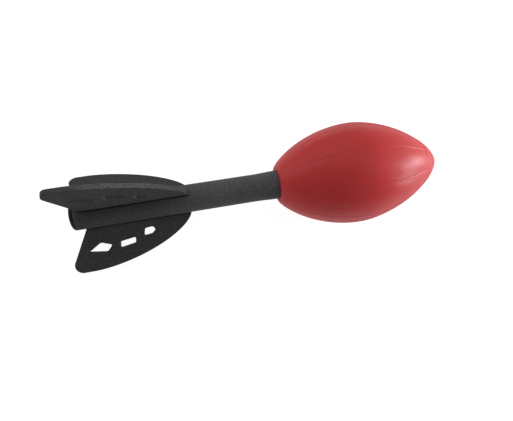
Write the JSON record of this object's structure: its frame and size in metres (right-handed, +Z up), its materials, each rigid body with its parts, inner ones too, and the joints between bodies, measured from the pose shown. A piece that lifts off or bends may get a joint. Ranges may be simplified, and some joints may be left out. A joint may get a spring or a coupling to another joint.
{
  "type": "vortex throwing toy",
  "caption": "Foam throwing toy for practising the javelin throw: a seamed oval head on a straight tail tube with swept fins that have cut-out windows.",
  "frame": {"origin": "on the floor, under the middle of the toy's box, with the toy lying at rest", "axes": "+Z up from the floor; +X along the floor towards the nose; the tail axis lies in the XZ plane and rises about 4 degrees towards the nose"},
  "size_m": [0.339, 0.0908, 0.091],
  "materials": {
    "head_foam": "red moulded polyurethane foam with its own satin skin",
    "tube_foam": "dark grey speckled closed-cell foam, matt",
    "fin_foam": "dark grey speckled sheet foam, matt, with paler cut edges",
    "core_plastic": "extruded off-white plastic",
    "plug_plastic": "moulded black plastic"
  },
  "bodies": {
    "root": {"head": "head_foam", "tail_tube": "tube_foam", "core_tube": "core_plastic", "tail_plug": "plug_plastic", "head_anchor": "plug_plastic", "fin_top": "fin_foam", "fin_right": "fin_foam", "fin_left": "fin_foam"}
  },
  "joints": []
}
